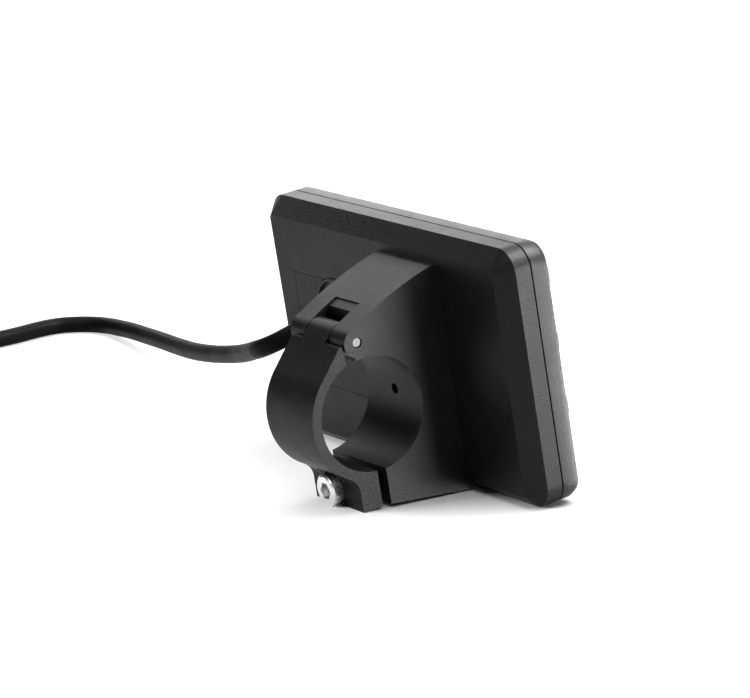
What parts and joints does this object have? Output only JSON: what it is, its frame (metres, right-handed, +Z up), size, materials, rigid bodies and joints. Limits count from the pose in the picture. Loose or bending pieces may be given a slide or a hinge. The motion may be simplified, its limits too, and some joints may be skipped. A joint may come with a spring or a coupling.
{
  "type": "bicycle display",
  "caption": "Handlebar display for an electric bicycle: flat screen case with three keys on a hinged bar clamp, with its lead and plug.",
  "frame": {"origin": "middle of the handlebar bore, on its axis", "axes": "+X along the handlebar axis, +Y from the bar towards the screen, +Z up, as the display rests on a table on its clamp lug and lower edge"},
  "size_m": [0.3544, 0.1279, 0.0731],
  "materials": {
    "housing": "fine textured black moulded plastic",
    "bezel": "fine textured black moulded plastic",
    "seal": "soft silicone",
    "lens": "hard clear window printed black behind",
    "panel": "unlit display glass",
    "guide": "frosted light guide",
    "tray": "white moulded tray",
    "board": "green solder mask",
    "small_screws": "zinc plated",
    "switches": "pressed steel",
    "mat": "silicone",
    "button": "soft satin rubber",
    "plate": "plain dark sheet",
    "gland": "satin rubber",
    "nut": "moulded nylon",
    "lead": "satin cable jacket",
    "insert": "turned",
    "pin": "ground steel",
    "strap": "fine textured black moulded plastic",
    "washer": "stainless",
    "screw": "bright stainless with a knurled head",
    "tie": "hook and loop tape",
    "plug": "satin overmould",
    "plug_collar": "moulded nylon",
    "contacts": "gold plated"
  },
  "bodies": {
    "case": {"rear_housing": "housing", "front_housing": "bezel", "housing_seal": "seal", "screen_lens": "lens", "display_glass": "panel", "light_guide": "guide", "display_tray": "tray", "main_board": "board", "board_screws": "small_screws", "push_switches": "switches", "key_mat": "mat", "name_plate": "plate", "outlet_gland": "gland", "gland_nut": "nut", "inner_lead": "lead", "clamp_insert": "insert", "hinge_pin": "pin", "cable": "lead", "cable_coil": "lead", "coil_tie": "tie", "plug_body": "plug", "plug_collar": "plug_collar", "plug_pins": "contacts"},
    "strap": {"clamp_strap": "strap"},
    "washer": {"clamp_washer": "washer"},
    "screw": {"clamp_screw": "screw"},
    "up_key": {"button_up": "button"},
    "power_key": {"button_power": "button"},
    "down_key": {"button_down": "button"}
  },
  "joints": [
    {"name": "strap_hinge", "type": "hinge", "parent": "case", "child": "strap", "pos_m": [0, -0.00389, 0.02018], "axis": [-1, 0, 0], "range_deg": [0, 85]},
    {"name": "screw_slide", "type": "slide", "parent": "strap", "child": "washer", "axis": [0, -0.9925, -0.1221], "range_m": [0, 0.004]},
    {"name": "screw_turn", "type": "hinge", "parent": "washer", "child": "screw", "pos_m": [0, -0.00469, -0.02204], "axis": [0, -0.9925, -0.1221], "range_deg": [0, 1805]},
    {"name": "up_press", "type": "slide", "parent": "case", "child": "up_key", "axis": [0, -0.9925, -0.1221], "range_m": [0, 0.0006], "stiffness_N_per_m": 1500},
    {"name": "power_press", "type": "slide", "parent": "case", "child": "power_key", "axis": [0, -0.9925, -0.1221], "range_m": [0, 0.0006], "stiffness_N_per_m": 1500},
    {"name": "down_press", "type": "slide", "parent": "case", "child": "down_key", "axis": [0, -0.9925, -0.1221], "range_m": [0, 0.0006], "stiffness_N_per_m": 1500}
  ],
  "couplings": [
    {"joint": "screw_turn", "follows": "screw_slide", "rad_per_m": 7854}
  ]
}
